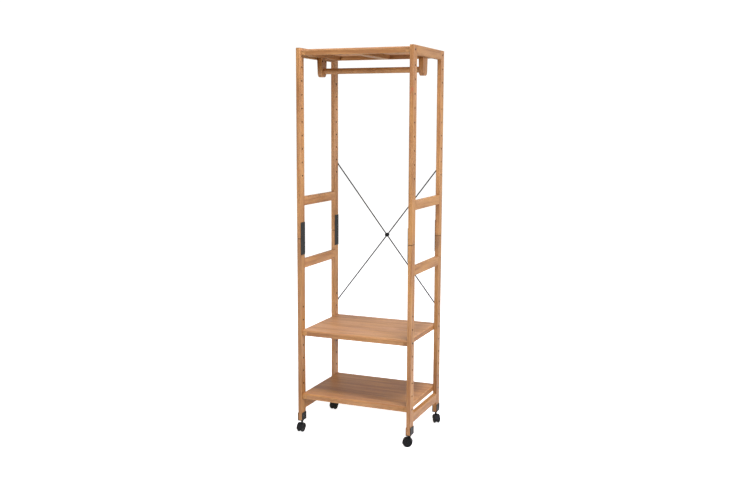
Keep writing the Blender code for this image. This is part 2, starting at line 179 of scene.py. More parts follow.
def rounded_outline(half_a, half_b, radius, steps=CORNER_STEPS):
    """Points round a rectangle with rounded corners, as (a, b) pairs."""
    points = []
    for corner, (sign_a, sign_b) in enumerate(((1, 1), (-1, 1), (-1, -1), (1, -1))):
        for i in range(steps + 1):
            angle = math.radians(90 * corner + 90 * i / steps)
            points.append((
                sign_a * (half_a - radius) + radius * math.cos(angle),
                sign_b * (half_b - radius) + radius * math.sin(angle)))
    return points


def stack_rings(bm, rings, closed=False):
    """Skin a list of rings of points. The first and the last are capped unless the stack closes."""
    rows = [[bm.verts.new(point) for point in ring] for ring in rings]
    pairs = list(zip(rows, rows[1:]))
    if closed:
        pairs.append((rows[-1], rows[0]))
    for low, high in pairs:
        count = len(low)
        for k in range(count):
            after = (k + 1) % count
            bm.faces.new((low[k], low[after], high[after], high[k]))
    if not closed:
        bm.faces.new(list(reversed(rows[0])))
        bm.faces.new(rows[-1])
    return rows


def add_bar(bm, low, high, axis, radius, ease=END_EASE):
    """A bar with rounded long edges along an axis (0, 1 or 2), and lightly eased ends."""
    low, high = Vector(low), Vector(high)
    middle = (low + high) / 2
    half = (high - low) / 2
    a, b = [i for i in range(3) if i != axis]
    stations = [(-half[axis], ease), (-half[axis] + ease, 0.0),
                (half[axis] - ease, 0.0), (half[axis], ease)]
    rings = []
    for along, inset in stations:
        ring = []
        for u, v in rounded_outline(half[a] - inset, half[b] - inset, radius):
            point = Vector((0, 0, 0))
            point[a], point[b], point[axis] = u, v, along
            ring.append(middle + point)
        rings.append(ring)
    stack_rings(bm, rings)


def add_turned(bm, profile, sides, place=Matrix.Identity(4), closed=False):
    """Turn (radius, height) points about Z and put the result at a place."""
    rings = []
    for radius, height in profile:
        ring = []
        for k in range(sides):
            angle = 2 * math.pi * k / sides
            ring.append(place @ Vector((radius * math.cos(angle), radius * math.sin(angle), height)))
        rings.append(ring)
    stack_rings(bm, rings, closed)


def facing(point, direction):
    """A placement whose +Z looks along a direction."""
    turn = Vector(direction).to_track_quat("Z", "Y").to_matrix().to_4x4()
    return Matrix.Translation(point) @ turn


def show(piece, body, slot, *nodes):
    """Let a piece ride on its body and stand for the CAD nodes it replaces. The slot is not used."""
    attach(piece, body)
    if nodes:
        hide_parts(*nodes)
    return piece


# ---- shader tools ------------------------------------------------------------
def add_node(tree, kind, inputs=None, **settings):
    """Add a node, set it up, and link or set its inputs by name or number."""
    node = tree.nodes.new(kind)
    for key, value in settings.items():
        setattr(node, key, value)
    for key, value in (inputs or {}).items():
        socket = node.inputs[key]
        if isinstance(value, bpy.types.NodeSocket):
            tree.links.new(value, socket)
        else:
            socket.default_value = value
    return node


def math_node(tree, operation, first, second=0.0, clamp=False):
    node = add_node(tree, "ShaderNodeMath", {0: first, 1: second}, operation=operation)
    node.use_clamp = clamp
    return node.outputs[0]


def between(tree, value, low, high, to_low=0.0, to_high=1.0):
    """Map a value from one range to another, held at its ends."""
    node = add_node(tree, "ShaderNodeMapRange", {
        "Value": value, "From Min": low, "From Max": high, "To Min": to_low, "To Max": to_high})
    return node.outputs[0]


def mix_colours(tree, share, first, second, blend="MIX"):
    node = add_node(tree, "ShaderNodeMix", {0: share, 6: first, 7: second},
                    data_type="RGBA", blend_type=blend)
    return node.outputs[2]


def noise(tree, point, scale, detail=2.0, roughness=0.5, stretch=None):
    """Noise over a point, which may first be stretched by three factors."""
    if stretch:
        point = add_node(tree, "ShaderNodeVectorMath", {0: point, 1: stretch},
                         operation="MULTIPLY").outputs[0]
    node = add_node(tree, "ShaderNodeTexNoise", {
        "Vector": point, "Scale": scale, "Detail": detail, "Roughness": roughness})
    return node.outputs[0]


def new_group(name, inputs, outputs):
    """A shader node group with named sockets. Returns its tree, input node and output node."""
    tree = bpy.data.node_groups.new(name, "ShaderNodeTree")
    for label, kind, value in inputs:
        socket = tree.interface.new_socket(label, in_out="INPUT", socket_type=kind)
        if value is not None:
            socket.default_value = value
    for label, kind in outputs:
        tree.interface.new_socket(label, in_out="OUTPUT", socket_type=kind)
    return tree, tree.nodes.new("NodeGroupInput"), tree.nodes.new("NodeGroupOutput")


def finish_group(tree, end, values):
    for label, socket in values.items():
        tree.links.new(socket, end.inputs[label])
    return tree


def make_wood_figure():
    """Growth lines, fibres, pores and slow tone drift in wood whose grain runs along Z."""
    tree, start, end = new_group("wood_figure", [
        ("Point", "NodeSocketVector", None),
        ("Light", "NodeSocketColor", (0.6, 0.35, 0.2, 1)),
        ("Dark", "NodeSocketColor", (0.3, 0.15, 0.06, 1)),
        ("Line Strength", "NodeSocketFloat", 0.3),
        ("Drift", "NodeSocketFloat", 0.8),
    ], [("Color", "NodeSocketColor"), ("Roughness", "NodeSocketFloat"),
        ("Height", "NodeSocketFloat")])
    point = start.outputs["Point"]
    wander = noise(tree, point, 1.0, 2.0, 0.5, (9, 9, 2.4))
    shift = between(tree, wander, 0, 1, -0.010, 0.010)
    swayed = add_node(tree, "ShaderNodeVectorMath", {
        0: point, 1: add_node(tree, "ShaderNodeCombineXYZ", {"X": shift, "Y": shift}).outputs[0],
    }, operation="ADD").outputs[0]
    flattened = add_node(tree, "ShaderNodeVectorMath", {0: swayed, 1: (1, 1, 0.05)},
                         operation="MULTIPLY").outputs[0]
    growth = add_node(tree, "ShaderNodeTexWave", {
        "Vector": flattened, "Scale": 38.0, "Distortion": 5.0, "Detail": 2.0,
        "Detail Scale": 3.0, "Detail Roughness": 0.6,
    }, wave_type="RINGS", rings_direction="Z", wave_profile="SAW").outputs[1]
    fibre = noise(tree, swayed, 1.0, 3.0, 0.6, (620, 620, 14))
    streak = noise(tree, swayed, 1.0, 2.0, 0.5, (95, 95, 5.0))
    band = noise(tree, swayed, 1.0, 1.0, 0.5, (42, 42, 2.2))
    mottle = noise(tree, swayed, 1.0, 2.0, 0.6, (230, 230, 46))
    pore_noise = noise(tree, swayed, 1.0, 1.0, 0.5, (1500, 1500, 90))
    pores = between(tree, pore_noise, 0.62, 0.72)
    drift = noise(tree, point, 1.0, 2.0, 0.5, (11, 11, 2.6))
    tone = math_node(tree, "MULTIPLY", math_node(tree, "SUBTRACT", growth, 0.5),
                     start.outputs["Line Strength"])
    tone = math_node(tree, "ADD", tone, between(tree, fibre, 0.25, 0.75, -0.16, 0.16))
    tone = math_node(tree, "ADD", tone, between(tree, streak, 0.28, 0.72, -0.42, 0.42))
    tone = math_node(tree, "ADD", tone, between(tree, band, 0.3, 0.7, -0.32, 0.32))
    tone = math_node(tree, "ADD", tone, between(tree, mottle, 0.3, 0.7, -0.22, 0.22))
    slow = math_node(tree, "MULTIPLY", between(tree, drift, 0.25, 0.75, -0.6, 0.6),
                     start.outputs["Drift"])
    tone = math_node(tree, "ADD", math_node(tree, "ADD", tone, slow), 0.55, clamp=True)
    colour = mix_colours(tree, tone, start.outputs["Dark"], start.outputs["Light"])
    hue = noise(tree, point, 1.0, 1.0, 0.5, (19, 19, 4.5))
    warmth = mix_colours(tree, between(tree, hue, 0.3, 0.7), (1.02, 1.00, 0.78, 1),
                         (0.98, 1.00, 1.10, 1))
    colour = mix_colours(tree, 1.0, colour, warmth, "MULTIPLY")
    darker = mix_colours(tree, math_node(tree, "MULTIPLY", pores, 0.25), colour,
                         (0.16, 0.07, 0.03, 1))
    rough = between(tree, fibre, 0.2, 0.8, 0.42, 0.60)
    rough = math_node(tree, "ADD", rough, math_node(tree, "MULTIPLY", pores, 0.12))
    height = math_node(tree, "SUBTRACT", math_node(tree, "ADD", fibre, math_node(
        tree, "MULTIPLY", growth, 0.35)), math_node(tree, "MULTIPLY", pores, 0.8))
    return finish_group(tree, end, {"Color": darker, "Roughness": rough, "Height": height})


def make_mark_and_painted_shadow():
    """A small knot about a centre, also drawn larger as a soft patch of painted shadow: a mask that
    fades out, longer along the grain (Z).
    """
    tree, start, end = new_group("mark_and_painted_shadow", [
        ("Point", "NodeSocketVector", None),
        ("Centre", "NodeSocketVector", (0, 0, 0)),
        ("Size", "NodeSocketFloat", 0.006),
    ], [("Mask", "NodeSocketFloat"), ("Eye", "NodeSocketFloat")])
    away = add_node(tree, "ShaderNodeVectorMath", {
        0: start.outputs["Point"], 1: start.outputs["Centre"]}, operation="SUBTRACT").outputs[0]
    away = add_node(tree, "ShaderNodeVectorMath", {0: away, 1: (1, 1, 0.55)},
                    operation="MULTIPLY").outputs[0]
    wobble = between(tree, noise(tree, away, 160.0), 0, 1, 0.75, 1.35)
    distance = add_node(tree, "ShaderNodeVectorMath", {0: away}, operation="LENGTH").outputs[1]
    ratio = math_node(tree, "DIVIDE", math_node(tree, "MULTIPLY", distance, wobble),
                      start.outputs["Size"])
    mask = between(tree, ratio, 0.6, 1.6, 1.0, 0.0)
    eye = between(tree, ratio, 0.25, 0.55, 1.0, 0.0)
    return finish_group(tree, end, {"Mask": mask, "Eye": eye})


def make_rubbed_edge():
    """A mask that is 1 on worn outer edges and 0 on open faces, broken up a little."""
    tree, start, end = new_group("rubbed_edge", [
        ("Radius", "NodeSocketFloat", 0.002),
        ("Point", "NodeSocketVector", None),
    ], [("Mask", "NodeSocketFloat")])
    soft = add_node(tree, "ShaderNodeBevel", {"Radius": start.outputs["Radius"]}, samples=6)
    true_normal = add_node(tree, "ShaderNodeNewGeometry").outputs["Normal"]
    agree = add_node(tree, "ShaderNodeVectorMath", {0: soft.outputs[0], 1: true_normal},
                     operation="DOT_PRODUCT").outputs[1]
    turn = between(tree, agree, 0.985, 0.80, 0.0, 1.0)
    patches = between(tree, noise(tree, start.outputs["Point"], 55.0, 3.0, 0.6), 0.35, 0.62)
    return finish_group(tree, end, {"Mask": math_node(tree, "MULTIPLY", turn, patches)})


def make_fine_texture():
    """Orange-peel relief of powder coat or moulded plastic, with a slow change of gloss."""
    tree, start, end = new_group("fine_texture", [
        ("Point", "NodeSocketVector", None),
        ("Grain", "NodeSocketFloat", 1200.0),
    ], [("Height", "NodeSocketFloat"), ("Patches", "NodeSocketFloat")])
    peel = add_node(tree, "ShaderNodeTexVoronoi", {
        "Vector": start.outputs["Point"], "Scale": start.outputs["Grain"]},
        feature="SMOOTH_F1").outputs["Distance"]
    patches = noise(tree, start.outputs["Point"], 40.0, 3.0, 0.6)
    return finish_group(tree, end, {"Height": peel, "Patches": patches})


GROUPS = {
    "wood": make_wood_figure(),
    "mark_and_painted_shadow": make_mark_and_painted_shadow(),
    "edge": make_rubbed_edge(),
    "fine": make_fine_texture(),
}


def group_node(tree, name, inputs):
    return add_node(tree, "ShaderNodeGroup", inputs, node_tree=GROUPS[name])


def new_material(name):
    """A material with its Principled shader and the piece's own coordinates."""
    material = bpy.data.materials.new(name)
    material.use_nodes = True
    tree = material.node_tree
    shader = tree.nodes["Principled BSDF"]
    point = add_node(tree, "ShaderNodeTexCoord").outputs["Object"]
    return material, tree, shader, point


def link_relief(tree, shader, height, strength, depth):
    bump = add_node(tree, "ShaderNodeBump", {
        "Height": height, "Strength": strength, "Distance": depth})
    tree.links.new(bump.outputs[0], shader.inputs["Normal"])


def along_grain(tree, point, grain):
    """Turn coordinates so that the grain, which runs along X, Y or Z, lies along Z."""
    parts = add_node(tree, "ShaderNodeSeparateXYZ", {0: point}).outputs
    order = {"X": (1, 2, 0), "Y": (0, 2, 1), "Z": (0, 1, 2)}[grain]
    return add_node(tree, "ShaderNodeCombineXYZ", {
        0: parts[order[0]], 1: parts[order[1]], 2: parts[order[2]]}).outputs[0], parts


def make_wood(name, grain, light, dark, lines=0.30, drift=0.8, strips=False, marks_and_painted_shadow=()):
    """Oiled and lacquered wood. Strips makes it a panel glued from boards side by side."""
    material, tree, shader, point = new_material(name)
    turned, parts = along_grain(tree, point, grain)
    if strips:
        number = math_node(tree, "FLOOR", math_node(
            tree, "ADD", math_node(tree, "DIVIDE", parts[1], PANEL_STRIP), 0.5))
        jump = add_node(tree, "ShaderNodeCombineXYZ", {
            0: math_node(tree, "MULTIPLY", number, 0.37), 2: math_node(
                tree, "MULTIPLY", number, 0.83)}).outputs[0]
        turned = add_node(tree, "ShaderNodeVectorMath", {0: turned, 1: jump},
                          operation="ADD").outputs[0]
    figure = group_node(tree, "wood", {
        "Point": turned, "Light": (*light, 1), "Dark": (*dark, 1),
        "Line Strength": lines, "Drift": drift})
    colour = figure.outputs["Color"]
    if strips:
        tone = add_node(tree, "ShaderNodeTexWhiteNoise", {"W": number},
                        noise_dimensions="1D").outputs[0]
        colour = mix_colours(tree, 1.0, colour, add_node(tree, "ShaderNodeCombineXYZ", {
            0: between(tree, tone, 0, 1, 0.93, 1.05), 1: between(tree, tone, 0, 1, 0.91, 1.06),
            2: between(tree, tone, 0, 1, 0.88, 1.08)}).outputs[0], "MULTIPLY")
    # knots, and the patch of painted shadow, which shares their mask
    for centre, size, ring_colour, ring_share, eye_share in marks_and_painted_shadow:
        mark_and_painted_shadow = group_node(tree, "mark_and_painted_shadow", {"Point": point, "Centre": centre, "Size": size})
        colour = mix_colours(tree, math_node(tree, "MULTIPLY", mark_and_painted_shadow.outputs["Mask"], ring_share),
                             colour, (*ring_colour, 1))
        colour = mix_colours(tree, math_node(tree, "MULTIPLY", mark_and_painted_shadow.outputs["Eye"], eye_share),
                             colour, (0.17, 0.06, 0.03, 1))
    edge = group_node(tree, "edge", {"Radius": 0.0022, "Point": point})
    colour = mix_colours(tree, math_node(tree, "MULTIPLY", edge.outputs[0], 0.30), colour,
                         (light[0] * 1.18, light[1] * 1.2, light[2] * 1.25, 1))
    tree.links.new(colour, shader.inputs["Base Color"])
    tree.links.new(figure.outputs["Roughness"], shader.inputs["Roughness"])
    shader.inputs["Coat Weight"].default_value = 0.12
    shader.inputs["Coat Roughness"].default_value = 0.35
    link_relief(tree, shader, figure.outputs["Height"], 0.22, 0.0004)
    return material


def make_end_grain_with_painted_shade():
    """Scorched, dusty end grain on the walls of drilled holes and in the joints of the posts, painted
    near black so that it also stands for the shade inside the holes.
    """
    material, tree, shader, point = new_material("end_grain_with_painted_shade")
    rings = noise(tree, point, 900.0, 3.0, 0.6)
    # near black: end grain, darkened further as painted shade in the depth of holes and counterbores
    colour = mix_colours(tree, rings, (0.018, 0.008, 0.004, 1), (0.050, 0.024, 0.011, 1))
    tree.links.new(colour, shader.inputs["Base Color"])
    tree.links.new(between(tree, rings, 0, 1, 0.75, 0.92), shader.inputs["Roughness"])
    shader.inputs["Specular IOR Level"].default_value = 0.15
    link_relief(tree, shader, rings, 0.3, 0.0002)
    return material


def make_coated(name, colour, bare, roughness, grain, metallic, rubbed, shine=0.3):
    """Powder-coated steel or moulded plastic, greyer where its edges are rubbed."""
    material, tree, shader, point = new_material(name)
    fine = group_node(tree, "fine", {"Point": point, "Grain": grain})
    edge = group_node(tree, "edge", {"Radius": 0.0012, "Point": point})
    worn = math_node(tree, "MULTIPLY", edge.outputs[0], rubbed)
    patches = between(tree, fine.outputs["Patches"], 0.3, 0.7, 0.0, 0.5)
    base = mix_colours(tree, patches, (*colour, 1), (*[c * 1.7 for c in colour], 1))
    tree.links.new(mix_colours(tree, worn, base, (*bare, 1)), shader.inputs["Base Color"])
    rough = between(tree, fine.outputs["Patches"], 0.3, 0.7, roughness - 0.06, roughness + 0.08)
    tree.links.new(rough, shader.inputs["Roughness"])
    shader.inputs["Metallic"].default_value = metallic
    shader.inputs["Specular IOR Level"].default_value = shine
    link_relief(tree, shader, fine.outputs["Height"], 0.18, 0.00015)
    return material


def make_wheel_material():
    """Moulded black nylon with floor dust ground into the tread."""
    material, tree, shader, point = new_material("wheel_nylon")
    fine = group_node(tree, "fine", {"Point": point, "Grain": 1400.0})
    scuffs = between(tree, noise(tree, point, 260.0, 4.0, 0.7), 0.56, 0.74)
    dust = math_node(tree, "MULTIPLY", scuffs, between(
        tree, fine.outputs["Patches"], 0.35, 0.7))
    colour = mix_colours(tree, math_node(tree, "MULTIPLY", dust, 0.4),
                         (0.0065, 0.0065, 0.0068, 1), (0.070, 0.066, 0.060, 1))
    tree.links.new(colour, shader.inputs["Base Color"])
    tree.links.new(between(tree, dust, 0, 1, 0.42, 0.75), shader.inputs["Roughness"])
    shader.inputs["Specular IOR Level"].default_value = 0.13
    link_relief(tree, shader, fine.outputs["Height"], 0.15, 0.00012)
    return material


FRAME_LIGHT = (0.425, 0.205, 0.070)
FRAME_DARK = (0.262, 0.103, 0.026)
PANEL_LIGHT = (0.565, 0.285, 0.122)
PANEL_DARK = (0.375, 0.162, 0.058)
KNOT_RED = (0.430, 0.108, 0.034)
# painted shadow: the colour of a soft dark patch on the right back post's front
PAINTED_SHADOW_BROWN = (0.150, 0.068, 0.024)


def post_marks_and_painted_shadow():
    """Two reddish knots on the right front post, faint ones elsewhere, and a patch of painted brown
    shadow on the right back post.
    """
    def on_post(node, across, y_share, z):
        low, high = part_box(node)
        return low.x + (high.x - low.x) * across, low.y + (high.y - low.y) * y_share, z

    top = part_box("right_front_upper_post")[1].z
    front, back = "right_front_upper_post", "left_back_lower_post"
    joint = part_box("right_back_lower_post")[1].z
    edge = 0.003 / (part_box(front)[1].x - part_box(front)[0].x)
    return (
        (on_post(front, 0.7, 0, top - 0.198), 0.0050, KNOT_RED, 0.85, 0.35),
        (on_post(front, edge, 0, top - 0.213), 0.0036, KNOT_RED, 0.75, 0.30),
        (on_post(back, 1, 0.3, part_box(back)[0].z + 0.47), 0.0035, KNOT_RED, 0.5, 0.6),
        (on_post("left_front_upper_post", 0.5, 0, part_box("left_front_upper_post")[0].z + 0.33),
         0.0036, KNOT_RED, 0.4, 0.5),
        # painted shadow, not a knot: a soft brown patch just below the right back post's joint, with no
        # eye
        (on_post("right_back_lower_post", 0.5, 0, joint - 0.030), 0.0190, PAINTED_SHADOW_BROWN, 0.6, 0.0),
    )


def toned(colour, share, green=1.0, blue=1.0):
    """The same wood, lighter or darker by a share, with its green and blue shifted."""
    return colour[0] * share, colour[1] * share * green, colour[2] * share * blue


def make_frame_wood(name, grain, tone=(1.0, 1.0, 1.0), lines=0.30, drift=0.8, marks_and_painted_shadow=()):
    return make_wood(name, grain, toned(FRAME_LIGHT, *tone), toned(FRAME_DARK, *tone),
                     lines, drift, marks_and_painted_shadow=marks_and_painted_shadow)


def make_panel_wood(name, tone=(1.0, 1.0, 1.0)):
    return make_wood(name, "X", toned(PANEL_LIGHT, *tone), toned(PANEL_DARK, *tone),
                     drift=0.7, strips=True)


POST_MARKS_AND_PAINTED_SHADOW = post_marks_and_painted_shadow()
WOOD = {
    "upright": make_frame_wood("post_wood", "Z", marks_and_painted_shadow=POST_MARKS_AND_PAINTED_SHADOW),
    "dark_upright": make_frame_wood("dark_post_wood", "Z", (0.86, 0.985, 0.95), marks_and_painted_shadow=POST_MARKS_AND_PAINTED_SHADOW),
    # paler wood as painted light, for the light that the left frame's inner faces catch from the right
    "painted_light_upright": make_frame_wood("painted_light_post_wood", "Z", (1.14, 1.01, 1.06), marks_and_painted_shadow=POST_MARKS_AND_PAINTED_SHADOW),
    "deep": make_frame_wood("side_rail_wood", "Y"),
    # darker rail wood; on the left top rail it is painted shade for the shadow under the top shelf
    "dark_and_shaded_deep": make_frame_wood("dark_and_shaded_rail_wood", "Y", (0.84, 0.985, 0.95)),
    "painted_light_deep": make_frame_wood("painted_light_rail_wood", "Y", (1.12, 1.01, 1.06)),
    "wide": make_frame_wood("shelf_rail_wood", "X"),
    "rod": make_frame_wood("rod_wood", "X", lines=0.45, drift=0.6),
    "panel": make_panel_wood("panel_wood"),
    # darker, warmer panel wood as painted shade, for the shade under the mid shelf
    "painted_shade_panel": make_panel_wood("painted_shade_panel_wood", (0.95, 0.947, 0.758)),
}
# the wood of each piece that is not of the usual tone; some of these tones are painted light or painted
# shade, as noted
PIECE_WOOD = {
    "left_front_lower_post": "dark_upright", "right_back_lower_post": "dark_upright",
    # painted light: the left back posts and left mid rails are made paler for the light on their inner
    # faces
    "left_back_lower_post": "painted_light_upright", "left_back_upper_post": "painted_light_upright",
    "left_upper_mid_rail": "painted_light_deep", "left_lower_mid_rail": "painted_light_deep",
    # the right top rail is darker wood; the left top rail is darkened as painted shade, for the top
    # shelf's shadow on its inner face
    "right_top_rail": "dark_and_shaded_deep", "left_top_rail": "dark_and_shaded_deep",
    # painted shade: the bottom shelf's panel lies in the mid shelf's shadow
    "bottom_shelf_panel": "painted_shade_panel",
}
END_GRAIN_AND_PAINTED_SHADE = make_end_grain_with_painted_shade()
STEEL = make_coated("black_powder_coat", (0.0095, 0.0100, 0.0092), (0.08, 0.08, 0.08),
                    0.45, 1500.0, 0.0, 0.25, 0.22)
SCREW_STEEL = make_coated("blackened_screw", (0.018, 0.018, 0.020), (0.22, 0.22, 0.225),
                          0.34, 2600.0, 0.85, 0.6)
PLASTIC = make_coated("moulded_black_plastic", (0.0060, 0.0060, 0.0064), (0.024, 0.024, 0.025),
                      0.46, 1300.0, 0.0, 0.35, 0.13)
NYLON = make_wheel_material()


# ---- wooden pieces -----------------------------------------------------------
def make_bar(node, wood, axis, rounding, slot, ease=END_EASE):
    """A wooden bar over its CAD node, of the wood named or the piece's own."""
    low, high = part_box(node)
    bm = bmesh.new()
    add_bar(bm, low, high, axis, rounding, ease)
    piece = new_piece(node + "_finished", bm, WOOD[PIECE_WOOD.get(node, wood)])
    return show(piece, "frame", slot, node)


def hole_shape(bm, x_low, x_high, y, z):
    """A through hole along X with a countersunk rim on both faces."""
    flare = HOLE_RADIUS + HOLE_RIM
    length = x_high - x_low
    over = HOLE_RIM
    profile = [
        (flare + over, -over), (HOLE_RADIUS, HOLE_RIM),
        (HOLE_RADIUS, length - HOLE_RIM), (flare + over, length + over)]
    add_turned(bm, profile, HOLE_SIDES, facing((x_low, y, z), (1, 0, 0)))


def stain_joint(post, z):
    """Give the eased end at a post's joint the dark look of bored wood."""
    post.data.materials.append(END_GRAIN_AND_PAINTED_SHADE)
    for polygon in post.data.polygons:
        if abs(polygon.center.z - z) < JOINT_EASE:
            polygon.material_index = 1


def make_post(side, end, part, top_shelf_z):
    node = f"{side}_{end}_{part}_post"
    post = make_bar(node, "upright", 2, BAR_ROUNDING, "frame_wood", JOINT_EASE)
    low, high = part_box(node)
    if part == "lower":
        heights = [low.z + FIRST_HOLE + HOLE_PITCH * i for i in range(LOWER_HOLES)]
    else:
        heights = [high.z - TOP_HOLE_DROP - HOLE_PITCH * i for i in range(UPPER_HOLES)]
        heights.append(top_shelf_z)
    stain_joint(post, high.z if part == "lower" else low.z)
    bm = bmesh.new()
    for z in heights:
        hole_shape(bm, low.x, high.x, (low.y + high.y) / 2, z)
    cut_away(post, bm, END_GRAIN_AND_PAINTED_SHADE)
    keep_flats_flat(post)


def make_posts():
    batten_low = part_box("top_shelf_left_batten")[0].z
    top_shelf_z = (batten_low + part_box("top_shelf_panel")[1].z) / 2
    for side in SIDES:
        for end in ENDS:
            make_post(side, end, "lower", top_shelf_z)
            make_post(side, end, "upper", top_shelf_z)


def make_side_rails():
    for side in SIDES:
        for name in ("top_rail", "upper_mid_rail", "lower_mid_rail", "bottom_rail"):
            rail = make_bar(f"{side}_{name}", "deep", 1, BAR_ROUNDING, "frame_wood", 0.0002)
            keep_flats_flat(rail)


def make_shelf(shelf):
    keep_flats_flat(make_bar(f"{shelf}_panel", "panel", 0, SHELF_ROUNDING, "shelf_wood"))
    for name in ("left_batten", "right_batten", "centre_batten"):
        keep_flats_flat(make_bar(f"{shelf}_{name}", "deep", 1, SHELF_ROUNDING, "frame_wood", 0.0003))
    for name in ("front_rail", "back_rail"):
        keep_flats_flat(make_bar(f"{shelf}_{name}", "wide", 0, SHELF_ROUNDING, "frame_wood", 0.0003))


def make_rod():
    low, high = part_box("hanging_rod")
    radius = (high.z - low.z) / 2
    length = high.x - low.x
    ease = 0.0015
    profile = [(radius - ease, 0), (radius, ease), (radius, length - ease), (radius - ease, length)]
    bm = bmesh.new()
    add_turned(bm, profile, 64, facing((low.x, 0, (low.z + high.z) / 2), (1, 0, 0)))
    rod = new_piece("hanging_rod_finished", bm, WOOD["rod"])
    keep_flats_flat(rod)
    show(rod, "frame", "rod_wood", "hanging_rod")


def make_rod_holder(side):
    """A tapered block with a round foot, a socket for the rod and two screws sunk in it."""
    node = f"{side}_rod_holder"
    low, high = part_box(node)
    rod_low, rod_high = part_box("hanging_rod")
    ease = SHELF_ROUNDING
    half_depth = (high.y - low.y) / 2
    middle_y = (high.y + low.y) / 2
    straight = high.z - low.z - HOLDER_ROUNDING
    taper = math.degrees(math.atan((half_depth - HOLDER_FOOT_HALF) / straight))

    def outline(inset):
        reach = half_depth - inset
        radius = HOLDER_ROUNDING - inset
        points = []
        for way, first in ((-1, 180 + taper), (1, 270)):
            for i in range(13):
                angle = math.radians(first + (90 - taper) * i / 12)
                points.append((way * (HOLDER_FOOT_HALF - HOLDER_ROUNDING) + radius * math.cos(angle),
                               low.z + HOLDER_ROUNDING + radius * math.sin(angle)))
        points.append((reach, high.z - inset))
        points.append((-reach, high.z - inset))
        return points

    bm = bmesh.new()
    stations = ((low.x, ease), (low.x + ease * 0.3, ease * 0.3), (low.x + ease, 0),
                (high.x - ease, 0), (high.x - ease * 0.3, ease * 0.3), (high.x, ease))
    stack_rings(bm, [[Vector((x, middle_y + y, z)) for y, z in outline(inset)]
                     for x, inset in stations])
    holder = new_piece(node + "_finished", bm, WOOD["upright"])
    way = SIDES[side]
    inner_x = low.x if way > 0 else high.x
    rod_end = rod_high.x if way > 0 else rod_low.x
    rod_z = (rod_low.z + rod_high.z) / 2
    bm = bmesh.new()
    depth = abs(rod_end - inner_x) + ROD_PLAY
    radius = (rod_high.z - rod_low.z) / 2 + ROD_PLAY
    add_turned(bm, [(radius, -depth), (radius, -0.0008), (radius + 0.0016, 0.0008)], 64,
               facing((inner_x, middle_y, rod_z), (-way, 0, 0)))
    cut_away(holder, bm)
    mouths = [Vector((inner_x, middle_y + step * HOLDER_SCREW_SPREAD, high.z - HOLDER_SCREW_DROP))
              for step in (-1, 1)]
    bm = bmesh.new()
    for mouth in mouths:
        add_turned(bm, [(COUNTERBORE_RADIUS, -COUNTERBORE_DEPTH), (COUNTERBORE_RADIUS, -0.0004),
                        (COUNTERBORE_RADIUS + 0.0008, 0.0004)], HOLE_SIDES,
                   facing(mouth, (-way, 0, 0)))
    cut_away(holder, bm, END_GRAIN_AND_PAINTED_SHADE)
    keep_flats_flat(holder)
    show(holder, "frame", "frame_wood", node)
    for number, mouth in enumerate(mouths):
        point = mouth + Vector((way * (COUNTERBORE_DEPTH - SEATING), 0, 0))
        place_fastener("screw", f"{side}_rod_holder_screw_{number + 1}", point, (-way, 0, 0))


# ---- fasteners ---------------------------------------------------------------
def make_bolt_head():
    """A button head with a hexagon socket, its underside at z = 0."""
    radius, height = BOLT_HEAD_RADIUS, BOLT_HEAD_HEIGHT
    profile = [(SHANK_RADIUS, -SHANK_LENGTH), (SHANK_RADIUS, 0.0), (radius * 0.97, 0.0)]
    for i in range(7):
        angle = math.radians(12 + 58 * i / 6)
        profile.append((radius * math.cos(angle), height * math.sin(angle)))
    profile.append((radius * 0.2, height * 0.98))
    bm = bmesh.new()
    add_turned(bm, profile, 32)
    head = new_piece("bolt_head_pattern", bm, SCREW_STEEL)
    bm = bmesh.new()
    add_turned(bm, [(SOCKET_RADIUS, height * 0.25), (SOCKET_RADIUS, height * 1.5)], 6)
    return keep_pattern(cut_away(head, bm))


def cut_cross(head, reach, bottom, top):
    """Cut a cross recess in a head with two crossed blades."""
    half = CROSS_SLOT / 2
    for turn in (0, 90):
        bm = bmesh.new()
        add_bar(bm, (-reach, -half, bottom), (reach, half, top), 0, 0.0001, 0.0001)
        bmesh.ops.transform(bm, matrix=Matrix.Rotation(math.radians(turn), 4, "Z"), verts=bm.verts)
        cut_away(head, bm)


def make_screw_head():
    """A pan head with a cross recess, its underside at z = 0."""
    radius, height = SCREW_HEAD_RADIUS, SCREW_HEAD_HEIGHT
    profile = [(SHANK_RADIUS, -SHANK_LENGTH), (SHANK_RADIUS, 0.0), (radius * 0.96, 0.0)]
    for i in range(6):
        angle = math.radians(15 + 60 * i / 5)
        profile.append((radius * math.cos(angle), height * math.sin(angle)))
    bm = bmesh.new()
    add_turned(bm, profile, 28)
    head = new_piece("screw_head_pattern", bm, SCREW_STEEL)
    cut_cross(head, radius * 0.58, height * 0.35, height * 1.6)
    return keep_pattern(head)


def make_flat_head():
    """A countersunk head with a cross recess, its face at z = 0."""
    radius, height = FLAT_HEAD_RADIUS, FLAT_HEAD_HEIGHT
    bm = bmesh.new()
    add_turned(bm, [(SHANK_RADIUS, -SHANK_LENGTH), (SHANK_RADIUS, -height), (radius, -0.0003),
                    (radius, -0.0001), (radius - 0.0002, 0.0)], 28)
    head = new_piece("flat_head_pattern", bm, SCREW_STEEL)
    cut_cross(head, radius * 0.55, -height * 0.55, height)
    return keep_pattern(head)


def keep_pattern(head):
    """Keep a head's mesh for the copies and drop the object it was made on."""
    keep_flats_flat(head)
    mesh = head.data
    bpy.data.objects.remove(head, do_unlink=True)
    return mesh


PATTERNS = {"bolt": make_bolt_head(), "screw": make_screw_head(), "flat": make_flat_head()}
fastener_count = 0


